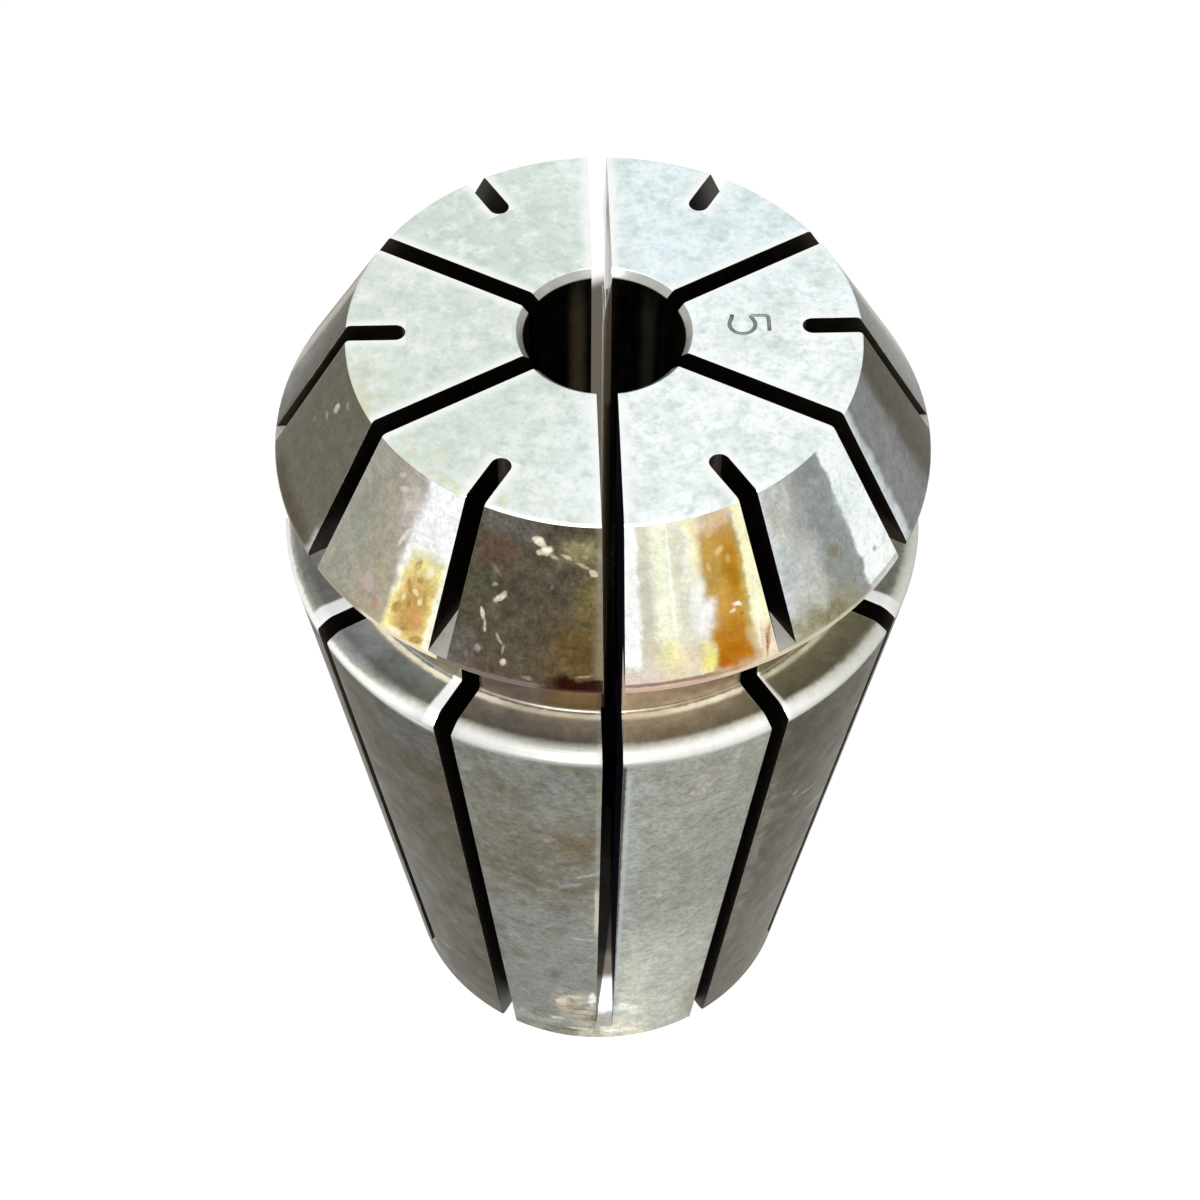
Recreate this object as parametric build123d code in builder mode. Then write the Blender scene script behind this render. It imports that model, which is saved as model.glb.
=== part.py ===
from build123d import *
import math
import os

# ER spring collet, series 20, for a 5 mm shank.
# Millimetres. The collet stands on its small back end: the origin is the centre of the back
# face, +Z runs along the bore to the front face, and the first front slot faces -Y.

# ---- sizes of the turned blank ---------------------------------------------------------
body_length = 31.5            # back face to front face
major_diameter = 21.0         # rim of the nose, and the land under the groove
nose_cone_height = 4.5        # front face to the lower edge of the nose cone
nose_half_angle = 30.0        # pressed on by the clamping nut
nose_rim_land = 0.15          # narrow cylinder under the cone, so that the rim isn't a knife edge
groove_diameter = 17.4        # the nut's eccentric ring hooks in here
shoulder_depth = 8.0          # front face to the shoulder under the groove
groove_corner_radius = 0.2
land_height = 0.4             # narrow cylinder between the shoulder and the taper
shoulder_radius = 0.3         # rounded edge of the shoulder
taper_half_angle = 8.0        # seats in the spindle
back_edge_chamfer = 0.3
face_edge_radius = 0.12       # between the front face and the nose cone

# ---- sizes of the bore -----------------------------------------------------------------
bore_diameter = 5.0
bore_entry_chamfer = 0.25
clamping_length = 20.0        # front face to the end of the ground bore
relief_diameter = 7.0         # opened up behind the ground bore
relief_cone_half_angle = 59.0 # left by the drill's point
relief_entry_chamfer = 0.2

# ---- sizes of the slots ----------------------------------------------------------------
slot_count = 6                # from each end
slot_width = 0.64
saw_diameter = 32.0
saw_past_bore = 0.2           # how far the saw cuts past the wall of the bore
front_slot_stop = 1.4         # left whole above the back face, on the outside
back_slot_gap = 0.15          # left whole under the nose, at the radius of the rim
notch_depth = 4.45            # the notches in the nose stop just above its lower edge
notch_inner_radius = 6.1      # round inner end of a notch, from the axis

# ---- worked out from the sizes above ---------------------------------------------------
major_radius = major_diameter / 2
groove_radius = groove_diameter / 2
bore_radius = bore_diameter / 2
relief_radius = relief_diameter / 2
saw_radius = saw_diameter / 2

cone_foot_z = body_length - nose_cone_height
groove_top_z = cone_foot_z - nose_rim_land
shoulder_z = body_length - shoulder_depth
land_foot_z = shoulder_z - land_height
bore_end_z = body_length - clamping_length

face_radius = major_radius - nose_cone_height * math.tan(math.radians(nose_half_angle))
taper_slope = math.tan(math.radians(taper_half_angle))
back_radius = major_radius - land_foot_z * taper_slope
relief_cone_height = (relief_radius - bore_radius) / math.tan(math.radians(relief_cone_half_angle))

slot_pitch = 360 / slot_count
slot_depth_radius = bore_radius - saw_past_bore
saw_axis_radius = slot_depth_radius + saw_radius


def radial_plane(angle):
    """Plane through the axis: local x runs outwards at this angle, local y runs up."""
    outwards = Vector(1, 0, 0).rotate(Axis.Z, angle)
    return Plane(origin=(0, 0, 0), x_dir=outwards, z_dir=outwards.cross(Vector(0, 0, 1)))


def saw_reach(radius):
    """Height from the saw's centre to its rim, at this distance from the collet's axis."""
    return math.sqrt(saw_radius**2 - (saw_axis_radius - radius) ** 2)


# The saw runs in from the front face and stops short of the back end.
front_slot_foot_radius = back_radius + front_slot_stop * taper_slope
front_saw_z = front_slot_stop + saw_reach(front_slot_foot_radius)
front_planes = [radial_plane(slot_pitch * (step + 0.5)) for step in range(slot_count)]

# It runs in from the back end, half a pitch round, and stops under the nose.
back_saw_z = groove_top_z - back_slot_gap - saw_reach(major_radius)
back_planes = [radial_plane(slot_pitch * step) for step in range(slot_count)]

notch_length = 2 * (major_radius - notch_inner_radius)

with BuildPart() as collet_body:
    # Turned blank
    with BuildSketch(Plane.XZ):
        with BuildLine():
            Polyline(
                (0, 0),
                (back_radius, 0),
                (major_radius, land_foot_z),
                (major_radius, shoulder_z),
                (groove_radius, shoulder_z),
                (groove_radius, groove_top_z),
                (major_radius, groove_top_z),
                (major_radius, cone_foot_z),
                (face_radius, body_length),
                (0, body_length),
                close=True,
            )
        make_face()
    revolve(axis=Axis.Z)

    circles = collet_body.edges().filter_by(GeomType.CIRCLE)
    shoulder_edges = circles.filter_by_position(Axis.Z, shoulder_z, shoulder_z).sort_by(SortBy.RADIUS)
    face_edge = circles.sort_by(Axis.Z)[-1]
    back_edge = circles.sort_by(Axis.Z)[0]
    fillet(shoulder_edges[0], radius=groove_corner_radius)
    fillet(shoulder_edges[-1], radius=shoulder_radius)
    fillet(face_edge, radius=face_edge_radius)
    chamfer(back_edge, length=back_edge_chamfer)

    # Ground bore from the front, drilled relief from the back
    with BuildSketch(Plane.XZ):
        with BuildLine():
            Polyline(
                (0, 0),
                (relief_radius + relief_entry_chamfer, 0),
                (relief_radius, relief_entry_chamfer),
                (relief_radius, bore_end_z - relief_cone_height),
                (bore_radius, bore_end_z),
                (bore_radius, body_length - bore_entry_chamfer),
                (bore_radius + bore_entry_chamfer, body_length),
                (0, body_length),
                close=True,
            )
        make_face()
    revolve(axis=Axis.Z, mode=Mode.SUBTRACT)

    # Front slots: the saw's path is its disc at the stop, and the strip that it came along
    with BuildSketch(*front_planes):
        with Locations((saw_axis_radius, front_saw_z)):
            Circle(saw_radius)
            Rectangle(saw_diameter, body_length, align=(Align.CENTER, Align.MIN))
    extrude(amount=slot_width / 2, both=True, mode=Mode.SUBTRACT)

    # Back slots
    with BuildSketch(*back_planes):
        with Locations((saw_axis_radius, back_saw_z)):
            Circle(saw_radius)
            Rectangle(saw_diameter, body_length, align=(Align.CENTER, Align.MAX))
    extrude(amount=slot_width / 2, both=True, mode=Mode.SUBTRACT)

    # Notches in the nose, above the back slots
    with BuildSketch(Plane.XY.offset(body_length)):
        with PolarLocations(major_radius, slot_count):
            SlotOverall(notch_length, slot_width)
    extrude(amount=-notch_depth, mode=Mode.SUBTRACT)

collet_body.part.label = "collet_body"

os.makedirs("parts", exist_ok=True)
export_step(collet_body.part, "parts/collet_body.step")
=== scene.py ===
import math

import bmesh
import bpy
from mathutils import Matrix, Vector


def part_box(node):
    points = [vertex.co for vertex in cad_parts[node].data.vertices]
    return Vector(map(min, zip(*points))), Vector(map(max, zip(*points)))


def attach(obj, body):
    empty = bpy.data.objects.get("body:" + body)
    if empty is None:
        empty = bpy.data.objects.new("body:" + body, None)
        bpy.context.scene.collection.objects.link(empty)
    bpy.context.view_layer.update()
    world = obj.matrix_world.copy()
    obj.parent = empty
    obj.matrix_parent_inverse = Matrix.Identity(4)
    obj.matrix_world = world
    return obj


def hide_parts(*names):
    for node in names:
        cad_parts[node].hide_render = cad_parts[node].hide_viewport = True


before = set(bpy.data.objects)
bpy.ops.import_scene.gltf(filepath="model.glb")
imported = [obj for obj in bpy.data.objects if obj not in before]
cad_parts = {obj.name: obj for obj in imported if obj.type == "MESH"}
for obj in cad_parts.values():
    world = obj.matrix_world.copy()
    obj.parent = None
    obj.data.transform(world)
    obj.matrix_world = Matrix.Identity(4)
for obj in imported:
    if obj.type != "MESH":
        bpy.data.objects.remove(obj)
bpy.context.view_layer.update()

# ---- sizes, in metres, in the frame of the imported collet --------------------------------
MM = 0.001
_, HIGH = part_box("collet_body")
FACE_Z = HIGH.z                       # front face
RIM_RADIUS = HIGH.x                   # nose rim and land
CONE_FOOT_Z = FACE_Z - 4.5 * MM
GROOVE_TOP_Z = CONE_FOOT_Z - 0.15 * MM
SHOULDER_Z = FACE_Z - 8.0 * MM
LAND_FOOT_Z = SHOULDER_Z - 0.4 * MM
NOSE_SLOPE = math.tan(math.radians(30))
TAPER_SLOPE = math.tan(math.radians(8))
FACE_RADIUS = RIM_RADIUS - (FACE_Z - CONE_FOOT_Z) * NOSE_SLOPE
GROOVE_RADIUS = 8.7 * MM
BACK_RADIUS = RIM_RADIUS - LAND_FOOT_Z * TAPER_SLOPE
SHOULDER_BEVEL_WIDTH = 0.42 * MM      # the worn edge of the shoulder
SHOULDER_BEVEL_HEIGHT = 0.28 * MM

BORE_RADIUS = 2.5 * MM
BORE_ENTRY = 0.25 * MM
BORE_END_Z = FACE_Z - 20.0 * MM
RELIEF_RADIUS = 3.5 * MM
RELIEF_CONE = 0.6 * MM
RELIEF_ENTRY = 0.2 * MM

SLOT_COUNT = 6
SLOT_PITCH = 360 / SLOT_COUNT
SLOT_WIDTH = 0.64 * MM
SAW_RADIUS = 16.0 * MM
SAW_AXIS_RADIUS = BORE_RADIUS - 0.2 * MM + SAW_RADIUS
FRONT_SLOT_STOP = 1.4 * MM
BACK_SLOT_GAP = 0.15 * MM
NOTCH_DEPTH = 4.45 * MM
NOTCH_INNER_RADIUS = 6.1 * MM
SLOT_EDGE_ROUND = 0.07 * MM

DIGIT_STROKE = 0.15 * MM
DIGIT_SINK = 0.05 * MM
DIGIT_BOWL = 0.40 * MM
DIGIT_CENTRE_RADIUS = 4.25 * MM       # centre of the bowl, from the collet's axis
DIGIT_ASIDE = 0.10 * MM

TURN_STEPS = 120                      # facets round the axis: no slot wall crosses a column
SAW_STEPS = 96
NOTCH_STEPS = 24
MERGE = 0.0005 * MM                   # points closer than this are one
CLOSE = 0.01 * MM                     # a face this near to a plane lies on it
SHARP_ANGLE = math.radians(28)
WALL_FACING = 0.7                     # a sawn face that looks this much across its slot is a wall

TURNED, SAWN, MARKED = 0, 1, 2        # kinds of face while the mesh is being cut


# ---- the collet's mesh ------------------------------------------------------------------
def linked(name, data):
    """A new object in the scene that shows this data."""
    made = bpy.data.objects.new(name, data)
    bpy.context.scene.collection.objects.link(made)
    return made


def new_object(name, bm):
    """A linked object made from a bmesh, which is freed."""
    mesh = bpy.data.meshes.new(name)
    bm.to_mesh(mesh)
    bm.free()
    return linked(name, mesh)


def turned_by(degrees, axis="Z"):
    return Matrix.Rotation(math.radians(degrees), 4, axis)


def turned_blank():
    """Closed section of the blank, with its corners rounded, spun once round the axis."""
    corners = [
        # radius, height, rounding in mm
        (RELIEF_RADIUS + RELIEF_ENTRY, 0, 0.05),
        (BACK_RADIUS, 0, 0.3),
        (RIM_RADIUS, LAND_FOOT_Z, 0.05),
        (RIM_RADIUS, SHOULDER_Z - SHOULDER_BEVEL_HEIGHT, 0.1),
        (RIM_RADIUS - SHOULDER_BEVEL_WIDTH, SHOULDER_Z, 0.15),
        (GROOVE_RADIUS, SHOULDER_Z, 0.1),
        (GROOVE_RADIUS, GROOVE_TOP_Z, 0.1),
        (RIM_RADIUS, GROOVE_TOP_Z, 0.05),
        (RIM_RADIUS, CONE_FOOT_Z, 0.05),
        (FACE_RADIUS, FACE_Z, 0.1),
        (BORE_RADIUS + BORE_ENTRY, FACE_Z, 0.05),
        (BORE_RADIUS, FACE_Z - BORE_ENTRY, 0.05),
        (BORE_RADIUS, BORE_END_Z, 0.03),
        (RELIEF_RADIUS, BORE_END_Z - RELIEF_CONE, 0.1),
        (RELIEF_RADIUS, RELIEF_ENTRY, 0.05),
    ]
    bm = bmesh.new()
    points = [bm.verts.new((radius, 0, height)) for radius, height, _ in corners]
    for first, second in zip(points, points[1:] + points[:1]):
        bm.edges.new((first, second))
    for point, (_, _, rounding) in zip(points, corners):
        bmesh.ops.bevel(bm, geom=[point], offset=rounding * MM, offset_type="OFFSET", segments=3,
                        profile=0.5, affect="VERTICES", material=-1)
    bmesh.ops.spin(bm, geom=bm.verts[:] + bm.edges[:], cent=(0, 0, 0), axis=(0, 0, 1),
                   angle=math.tau, steps=TURN_STEPS, use_merge=True)
    bmesh.ops.recalc_face_normals(bm, faces=bm.faces)
    return new_object("blank", bm)


def add_slab(bm, radius, steps, travel, place, thickness):
    """Adds a disc, one half of it carried on by the travel, set in place and given its thickness."""
    disc = bmesh.ops.create_circle(bm, cap_ends=True, segments=steps, radius=radius)["verts"]
    bmesh.ops.translate(bm, verts=[v for v in disc if v.co.dot(travel) > 0], vec=travel)
    bmesh.ops.transform(bm, matrix=place, verts=disc)
    grown = bmesh.ops.extrude_face_region(bm, geom=[disc[0].link_faces[0]])["geom"]
    far_side = [g for g in grown if isinstance(g, bmesh.types.BMVert)]
    bmesh.ops.translate(bm, verts=far_side, vec=place.to_3x3() @ Vector((0, 0, thickness)))


def saw_reach(radius):
    """Height from the saw's centre to its rim, at this distance from the collet's axis."""
    return math.sqrt(SAW_RADIUS**2 - (SAW_AXIS_RADIUS - radius) ** 2)


def slot_cutters():
    """The twelve saw cuts, front and back by turns."""
    bm = bmesh.new()
    front_foot = BACK_RADIUS + FRONT_SLOT_STOP * TAPER_SLOPE
    front_saw_z = FRONT_SLOT_STOP + saw_reach(front_foot)
    back_saw_z = GROOVE_TOP_Z - BACK_SLOT_GAP - saw_reach(RIM_RADIUS)
    cuts = [(0.5, front_saw_z, 2 * FACE_Z), (0, back_saw_z, -2 * FACE_Z)]
    for step in range(SLOT_COUNT):
        for pitches, centre_z, way_out in cuts:
            place = (turned_by(SLOT_PITCH * (step + pitches)) @ turned_by(90, "X")
                     @ Matrix.Translation((SAW_AXIS_RADIUS, centre_z, -SLOT_WIDTH / 2)))
            add_slab(bm, SAW_RADIUS, SAW_STEPS, Vector((0, way_out, 0)), place, SLOT_WIDTH)
    bmesh.ops.recalc_face_normals(bm, faces=bm.faces)
    return new_object("slot_cutters", bm)


def notch_cutters():
    """Round-ended cuts in the nose, above the back slots."""
    bm = bmesh.new()
    end_radius = SLOT_WIDTH / 2
    outwards = Vector((2 * (RIM_RADIUS - NOTCH_INNER_RADIUS), 0, 0))
    for step in range(SLOT_COUNT):
        place = (turned_by(SLOT_PITCH * step)
                 @ Matrix.Translation((NOTCH_INNER_RADIUS + end_radius, 0, FACE_Z - NOTCH_DEPTH)))
        add_slab(bm, end_radius, NOTCH_STEPS, outwards, place, 2 * NOTCH_DEPTH)
    bmesh.ops.recalc_face_normals(bm, faces=bm.faces)
    return new_object("notch_cutters", bm)


def arc(centre_x, centre_y, radius, start, end, count):
    """Points along an arc, its angles in degrees."""
    steps = [math.radians(start + (end - start) * n / (count - 1)) for n in range(count)]
    return [(centre_x + radius * math.cos(a), centre_y + radius * math.sin(a)) for a in steps]


def digit_strokes():
    """The size digit, a plain 5 drawn upright about the centre of its bowl, as two strokes."""
    bowl = DIGIT_BOWL
    stem_x = -0.95 * bowl
    stem_foot_y = 0.70 * bowl
    top_y = 2.05 * bowl
    corner = 0.3 * bowl
    flag_end = (0.75 * bowl, top_y)
    tail_end = (-1.1 * bowl, -0.72 * bowl)
    flag = [flag_end, *arc(stem_x + corner, top_y - corner, corner, 90, 180, 5), (stem_x, stem_foot_y)]
    curl = [(stem_x, stem_foot_y), *arc(0, 0, bowl, 125, -125, 16), tail_end]
    return [flag, curl]


def digit_cutter(stroke):
    """A round rod along one stroke, turned to lie on the face with its top towards the rim."""
    data = bpy.data.curves.new("stroke", "CURVE")
    data.dimensions = "3D"
    data.bevel_depth = DIGIT_STROKE / 2
    data.bevel_resolution = 2
    data.use_fill_caps = True
    line = data.splines.new("POLY")
    line.points.add(len(stroke) - 1)
    height = FACE_Z + DIGIT_STROKE / 2 - DIGIT_SINK
    for point, (right, up) in zip(line.points, stroke):
        point.co = (DIGIT_CENTRE_RADIUS + up, DIGIT_ASIDE - right, height, 1)
    rod = bpy.data.objects.new("stroke", data)
    mesh = bpy.data.meshes.new_from_object(rod)
    bpy.data.objects.remove(rod)
    bm = bmesh.new()
    bm.from_mesh(mesh)
    bmesh.ops.remove_doubles(bm, verts=bm.verts, dist=MERGE)
    bmesh.ops.recalc_face_normals(bm, faces=bm.faces)
    return new_object("digit_cutter", bm)


def cut(blank, cutter, kind):
    """Takes the cutter out of the blank. The walls that it leaves are marked with their kind."""
    for obj in (blank, cutter):
        while len(obj.data.materials) < len(FINISHES):
            obj.data.materials.append(None)
    cutter.data.polygons.foreach_set("material_index", [kind] * len(cutter.data.polygons))
    step = blank.modifiers.new("cut", "BOOLEAN")
    step.operation = "DIFFERENCE"
    step.solver = "EXACT"
    step.object = cutter
    ready = blank.evaluated_get(bpy.context.evaluated_depsgraph_get())
    mesh = bpy.data.meshes.new_from_object(ready)
    blank.modifiers.clear()
    blank.data = mesh
    bpy.data.objects.remove(cutter)


def is_slot_lip(edge):
    """True for an outward corner between a sawn wall and a turned surface outside the bore."""
    if len(edge.link_faces) != 2:
        return False
    kinds = {face.material_index for face in edge.link_faces}
    middle = (edge.verts[0].co + edge.verts[1].co) / 2
    outside = middle.xy.length > RELIEF_RADIUS + RELIEF_ENTRY + 0.1 * MM or middle.z > FACE_Z - CLOSE
    return kinds == {TURNED, SAWN} and outside


def finish_of(face):
    """The name of a face's finish, from how the face was made and where it lies."""
    middle = face.calc_center_median()
    radius = middle.xy.length
    if face.material_index == SAWN:
        outwards = Vector((middle.x, middle.y, 0)).normalized()
        across = abs(face.normal.dot(Vector((-outwards.y, outwards.x, 0))))
        return "sawn_wall" if across > WALL_FACING else "sawn_floor"
    if face.material_index == MARKED:
        return "digit"
    in_relief = radius < RELIEF_RADIUS + 0.9 * RELIEF_ENTRY and middle.z < BORE_END_Z
    if in_relief or radius < BORE_RADIUS + 0.9 * BORE_ENTRY:
        return "bore"
    azimuth = math.degrees(math.atan2(middle.x, -middle.y))
    jaws = {-2: "nose_left", -1: "nose_front_left", 0: "nose_front_right", 1: "nose_right"}
    jaw = jaws.get(math.floor(azimuth / (SLOT_PITCH / 2)), "nose_rest")
    # from the face downwards: each finish begins above its own foot
    for foot, name in ((FACE_Z - 9 * CLOSE, "front_face"), (GROOVE_TOP_Z - CLOSE, jaw),
                       (SHOULDER_Z + 12 * CLOSE, "groove"), (LAND_FOOT_Z, "shoulder")):
        if middle.z > foot:
            return name
    if middle.z < 2 * CLOSE:
        return "back_face"
    return "taper_front" if abs(azimuth) < SLOT_PITCH / 2 else "taper_rest"


def collet_mesh():
    """The finished collet: turned, slotted, marked and deburred."""
    body = turned_blank()
    cut(body, slot_cutters(), SAWN)
    cut(body, notch_cutters(), SAWN)
    for stroke in digit_strokes():
        cut(body, digit_cutter(stroke), MARKED)
    bm = bmesh.new()
    bm.from_mesh(body.data)
    bmesh.ops.remove_doubles(bm, verts=bm.verts, dist=MERGE)
    lip_highlights = [edge for edge in bm.edges if is_slot_lip(edge)]
    lip_faces = bmesh.ops.bevel(bm, geom=lip_highlights, offset=SLOT_EDGE_ROUND, offset_type="OFFSET", segments=2,
                                profile=0.5, affect="EDGES", material=-1, clamp_overlap=True)["faces"]
    finish = {face: finish_of(face) for face in bm.faces}
    finish.update({face: "worn_lip" for face in lip_faces})
    for face, name in finish.items():
        face.material_index = FINISHES.index(name)
        face.smooth = True
    bm.to_mesh(body.data)
    bm.free()
    body.data.set_sharp_from_angle(angle=SHARP_ANGLE)
    body.name = "collet"
    return body


# ---- shader building blocks -------------------------------------------------------------
WRAP_RADIUS = 9.0                     # mm: the tube that the surface is rolled onto for its patterns
ALL_ROUND = (-181, 181)               # azimuths, in degrees


def is_socket(value):
    return isinstance(value, bpy.types.NodeSocket)


def feed(socket, value):
    """Links another socket to this one, or sets this one to a value."""
    if is_socket(value):
        socket.id_data.links.new(value, socket)
    else:
        socket.default_value = value


def node(tree, kind, sockets=None, **settings):
    """A new shader node with these settings, its sockets fed by name or number."""
    made = tree.nodes.new(kind)
    for name, value in settings.items():
        setattr(made, name, value)
    for socket, value in (sockets or {}).items():
        feed(made.inputs[socket], value)
    return made


def maths(operation, *values):
    """A Math node, in the tree that the first socket among its values belongs to."""
    tree = next(value for value in values if is_socket(value)).id_data
    return node(tree, "ShaderNodeMath", dict(enumerate(values)), operation=operation).outputs[0]


def product(*values):
    result = values[0]
    for value in values[1:]:
        result = maths("MULTIPLY", result, value)
    return result


def remap(value, low, high, new_low=0.0, new_high=1.0, soft=True):
    """The value moved from one range to another, held at the ends."""
    return node(value.id_data, "ShaderNodeMapRange", {0: value, 1: low, 2: high, 3: new_low, 4: new_high},
                interpolation_type="SMOOTHSTEP" if soft else "LINEAR").outputs[0]


def noise(vector, scale, detail, roughness):
    return node(vector.id_data, "ShaderNodeTexNoise",
                {"Vector": vector, "Scale": scale, "Detail": detail, "Roughness": roughness}).outputs


def parts(vector):
    return node(vector.id_data, "ShaderNodeSeparateXYZ", {0: vector}).outputs


def joined(x, y, z):
    return node(z.id_data, "ShaderNodeCombineXYZ", {0: x, 1: y, 2: z}).outputs[0]


def new_group(name, inputs, outputs):
    """An empty node group. Returns its input and its output sockets."""
    tree = bpy.data.node_groups.new(name, "ShaderNodeTree")
    for labels, way in ((inputs, "INPUT"), (outputs, "OUTPUT")):
        for label in labels:
            kind = "NodeSocketVector" if label in ("Point", "Wrap") else "NodeSocketFloat"
            tree.interface.new_socket(name=label, in_out=way, socket_type=kind)
    return tree.nodes.new("NodeGroupInput").outputs, tree.nodes.new("NodeGroupOutput").inputs


def place_group():
    """Where a point lies: degrees round from the front, mm below the face, mm from the axis."""
    _, out = new_group("place_on_collet", [], ["Azimuth", "Depth", "Radius", "Point", "Wrap"])
    tree = out[0].id_data
    here = node(tree, "ShaderNodeTexCoord").outputs["Object"]
    point = node(tree, "ShaderNodeVectorMath", {0: here, "Scale": 1 / MM}, operation="SCALE").outputs[0]
    x, y, z = parts(point)
    front = product(y, -1.0)
    depth = maths("SUBTRACT", FACE_Z / MM, z)
    radius = maths("SQRT", maths("ADD", product(x, x), product(y, y)))
    round_x, round_y = (product(maths("DIVIDE", way, radius), WRAP_RADIUS) for way in (x, front))
    feed(out["Azimuth"], maths("DEGREES", maths("ARCTAN2", x, front)))
    feed(out["Depth"], depth)
    feed(out["Radius"], radius)
    feed(out["Point"], point)
    feed(out["Wrap"], joined(round_x, round_y, depth))


def ragged_group():
    """The place shaken by noise, so that stains get uneven borders."""
    given, out = new_group("ragged_place", ["Azimuth", "Depth", "Point", "Grain", "Reach"],
                           ["Azimuth", "Depth"])
    colour = noise(given["Point"], given["Grain"], 4.0, 0.55)["Color"]
    shake = node(colour.id_data, "ShaderNodeSeparateColor", {0: colour}).outputs
    sideways, along = (product(maths("SUBTRACT", way, 0.5), given["Reach"]) for way in shake[:2])
    degrees = product(sideways, math.degrees(1 / WRAP_RADIUS))
    feed(out["Azimuth"], maths("ADD", given["Azimuth"], degrees))
    feed(out["Depth"], maths("ADD", given["Depth"], along))


def patch_group():
    """A soft-edged window in azimuth and depth."""
    given, out = new_group("patch", ["Azimuth", "Depth", "Left", "Right", "Side Edge", "Top", "Foot",
                                     "End Edge"], ["Mask"])

    def between(value, low, high, edge):
        half = product(given[edge], 0.5)
        return maths("SUBTRACT", *(remap(given[value], maths("SUBTRACT", given[border], half),
                                         maths("ADD", given[border], half)) for border in (low, high)))

    feed(out["Mask"], product(between("Azimuth", "Left", "Right", "Side Edge"),
                            between("Depth", "Top", "Foot", "End Edge")))


def spot_group():
    """A soft-edged ellipse in mm on the surface, turned by an angle given as cosine and sine."""
    given, out = new_group("spot", ["Azimuth", "Depth", "Radius", "At Azimuth", "At Depth", "Across", "Along",
                                    "Cosine", "Sine"], ["Mask"])
    turned = maths("RADIANS", maths("SUBTRACT", given["Azimuth"], given["At Azimuth"]))
    right = product(turned, given["Radius"])
    down = maths("SUBTRACT", given["Depth"], given["At Depth"])
    first = maths("ADD", product(right, given["Cosine"]), product(down, given["Sine"]))
    second = maths("SUBTRACT", product(down, given["Cosine"]), product(right, given["Sine"]))
    reach = maths("ADD", *(maths("POWER", maths("DIVIDE", maths("ABSOLUTE", way), given[half]), 2.0)
                           for way, half in ((first, "Across"), (second, "Along"))))
    feed(out["Mask"], remap(reach, 0.1, 1.7, 1.0, 0.0))


def spread_noise(given, out, vector, detail, roughness):
    """Puts out noise on this vector, spread between the group's low and high level."""
    grain = noise(vector, given["Per mm"], detail, roughness)[0]
    feed(out["Value"], remap(grain, 0.3, 0.7, given["Low"], given["High"], soft=False))


def cloud_group():
    """Soft blotches."""
    given, out = new_group("cloud", ["Point", "Per mm", "Low", "High"], ["Value"])
    spread_noise(given, out, given["Point"], 5.0, 0.6)


def streak_group():
    """Lines that run along the collet, from the face towards the back."""
    given, out = new_group("streaks", ["Wrap", "Per mm", "Stretch", "Low", "High"], ["Value"])
    x, y, z = parts(given["Wrap"])
    spread_noise(given, out, joined(x, y, maths("DIVIDE", z, given["Stretch"])), 4.0, 0.6)


def turning_group():
    """Fine lines round the axis, left by turning and grinding."""
    given, out = new_group("turning_lines", ["Wrap", "Radius", "Per mm", "Low", "High"], ["Value"])
    x, y, z = parts(given["Wrap"])
    slow_x, slow_y = (product(way, 0.03) for way in (x, y))
    spread_noise(given, out, joined(slow_x, slow_y, maths("ADD", z, given["Radius"])), 3.0, 0.7)


def fleck_group():
    """Small separate specks: the amount is the share of cells that carry one."""
    given, out = new_group("flecks", ["Point", "Per mm", "Size", "Amount"], ["Mask"])
    tree = out[0].id_data
    cells = node(tree, "ShaderNodeTexVoronoi", {"Vector": given["Point"], "Scale": given["Per mm"]}).outputs
    lot = node(tree, "ShaderNodeSeparateColor", {0: cells["Color"]}).outputs[0]
    dot = remap(cells["Distance"], product(given["Size"], 0.4), given["Size"], 1.0, 0.0)
    feed(out["Mask"], product(dot, maths("LESS_THAN", lot, given["Amount"])))


def lip_group():
    """How near a point lies to a slot's edge: 1 at the edge, 0 at the reach, in mm."""
    given, out = new_group("beside_slots", ["Azimuth", "Radius", "Reach"], ["Mask"])
    half_pitch = SLOT_PITCH / 2
    turned = maths("PINGPONG", maths("ABSOLUTE", given["Azimuth"]), half_pitch)
    masks = []
    for angle in (turned, maths("SUBTRACT", half_pitch, turned)):
        aside = product(given["Radius"], maths("SINE", maths("RADIANS", angle)))
        masks.append(remap(maths("SUBTRACT", aside, SLOT_WIDTH / MM / 2), 0.0, given["Reach"], 1.0, 0.0))
    beyond_notch = maths("GREATER_THAN", given["Radius"], NOTCH_INNER_RADIUS / MM)
    feed(out["Mask"], maths("MAXIMUM", masks[0], product(masks[1], beyond_notch)))


for make_group in (place_group, ragged_group, patch_group, spot_group, cloud_group, streak_group,
                   turning_group, fleck_group, lip_group):
    make_group()


def tone(red, green, blue):
    """A shader colour from its screen values, 0 to 255."""
    return (*(((value / 255 + 0.055) / 1.055) ** 2.4 for value in (red, green, blue)), 1.0)


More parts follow.
